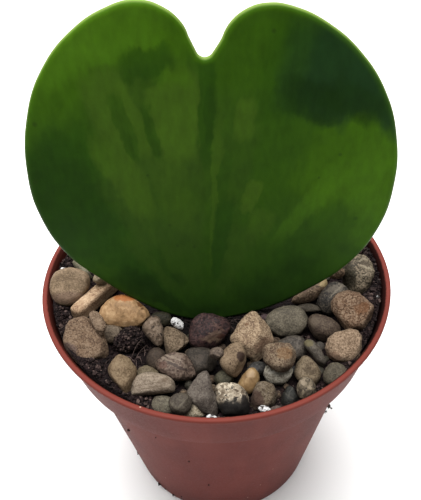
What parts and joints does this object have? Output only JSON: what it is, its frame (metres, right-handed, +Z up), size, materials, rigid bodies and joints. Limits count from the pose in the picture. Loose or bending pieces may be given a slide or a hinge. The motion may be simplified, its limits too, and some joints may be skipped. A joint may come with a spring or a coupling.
{
  "type": "potted hoya plant",
  "caption": "Single thick heart-shaped hoya leaf rooted upright in peat under a mixed gravel mulch, in a tapered terracotta-coloured plastic nursery pot.",
  "frame": {"origin": "centre of the overall box's underside, which is the centre of the pot's foot ring at the surface that it stands on", "axes": "+Z up, along the pot's axis; the face of the leaf looks towards -Y; +X is to the right as one faces the leaf"},
  "size_m": [0.09, 0.09, 0.1482],
  "materials": {
    "pot_plastic": "terracotta-coloured injection-moulded polypropylene, matt on the body and slightly glossy on the rim",
    "potting_mix": null,
    "leaf_flesh": null,
    "root_fibre": "pale fibrous root",
    "gravel_tan": "water-worn tan sandstone",
    "gravel_cream": "smooth cream and amber quartz",
    "gravel_brown": "grainy rust-brown sandstone",
    "gravel_grey": "speckled grey pebble",
    "gravel_olive": "smooth olive-grey pebble",
    "gravel_slate": "blue-grey slate with pale veins",
    "gravel_pink": "pink quartzite and feldspar-rich stone",
    "gravel_purple": "dark purple-maroon mudstone",
    "gravel_granite": "cream granite with black grains"
  },
  "bodies": {
    "root": {"pot": "pot_plastic", "soil": "potting_mix", "leaf": "leaf_flesh", "roots": "root_fibre", "amber_drop": "gravel_cream", "banded_oval": "gravel_olive", "beige_bar": "gravel_tan", "blue_veined": "gravel_slate", "brown_sandstone": "gravel_brown", "dark_chip": "gravel_slate", "dark_slate": "gravel_slate", "granite_lump": "gravel_granite", "grey_ball": "gravel_grey", "grey_crescent": "gravel_slate", "grey_kite": "gravel_grey", "hidden_grey": "gravel_grey", "khaki_gem": "gravel_tan", "khaki_wedge": "gravel_tan", "moss_dark": "gravel_olive", "olive_bean": "gravel_olive", "olive_chip": "gravel_olive", "olive_low": "gravel_olive", "olive_oval": "gravel_olive", "olive_round": "gravel_olive", "olive_tooth": "gravel_olive", "orange_brown": "gravel_brown", "pale_green": "gravel_grey", "pale_round": "gravel_tan", "peach_egg": "gravel_cream", "peat_clod": "potting_mix", "pepper_stone": "gravel_granite", "pink_blade": "gravel_pink", "pink_brick": "gravel_pink", "pink_rhomb": "gravel_pink", "pitted_tan": "gravel_tan", "purple_stone": "gravel_purple", "rear_brown_block": "gravel_brown", "rear_brown_round": "gravel_brown", "rear_cream_oval": "gravel_cream", "rear_grey_flat": "gravel_grey", "rear_grey_oval": "gravel_grey", "rear_olive_flat": "gravel_olive", "rear_olive_round": "gravel_olive", "rear_pink_oval": "gravel_pink", "rear_slate_round": "gravel_slate", "rear_tan_long": "gravel_tan", "rear_tan_round": "gravel_tan", "rust_hexagon": "gravel_brown", "slate_round": "gravel_slate", "smooth_grey": "gravel_grey", "speckled_oval": "gravel_grey", "spotted_tan": "gravel_tan", "streaked_pink": "gravel_pink", "tan_disc": "gravel_tan", "tan_slip": "gravel_tan", "taupe_flat": "gravel_grey", "taupe_long": "gravel_brown", "two_tone": "gravel_tan"}
  },
  "joints": []
}
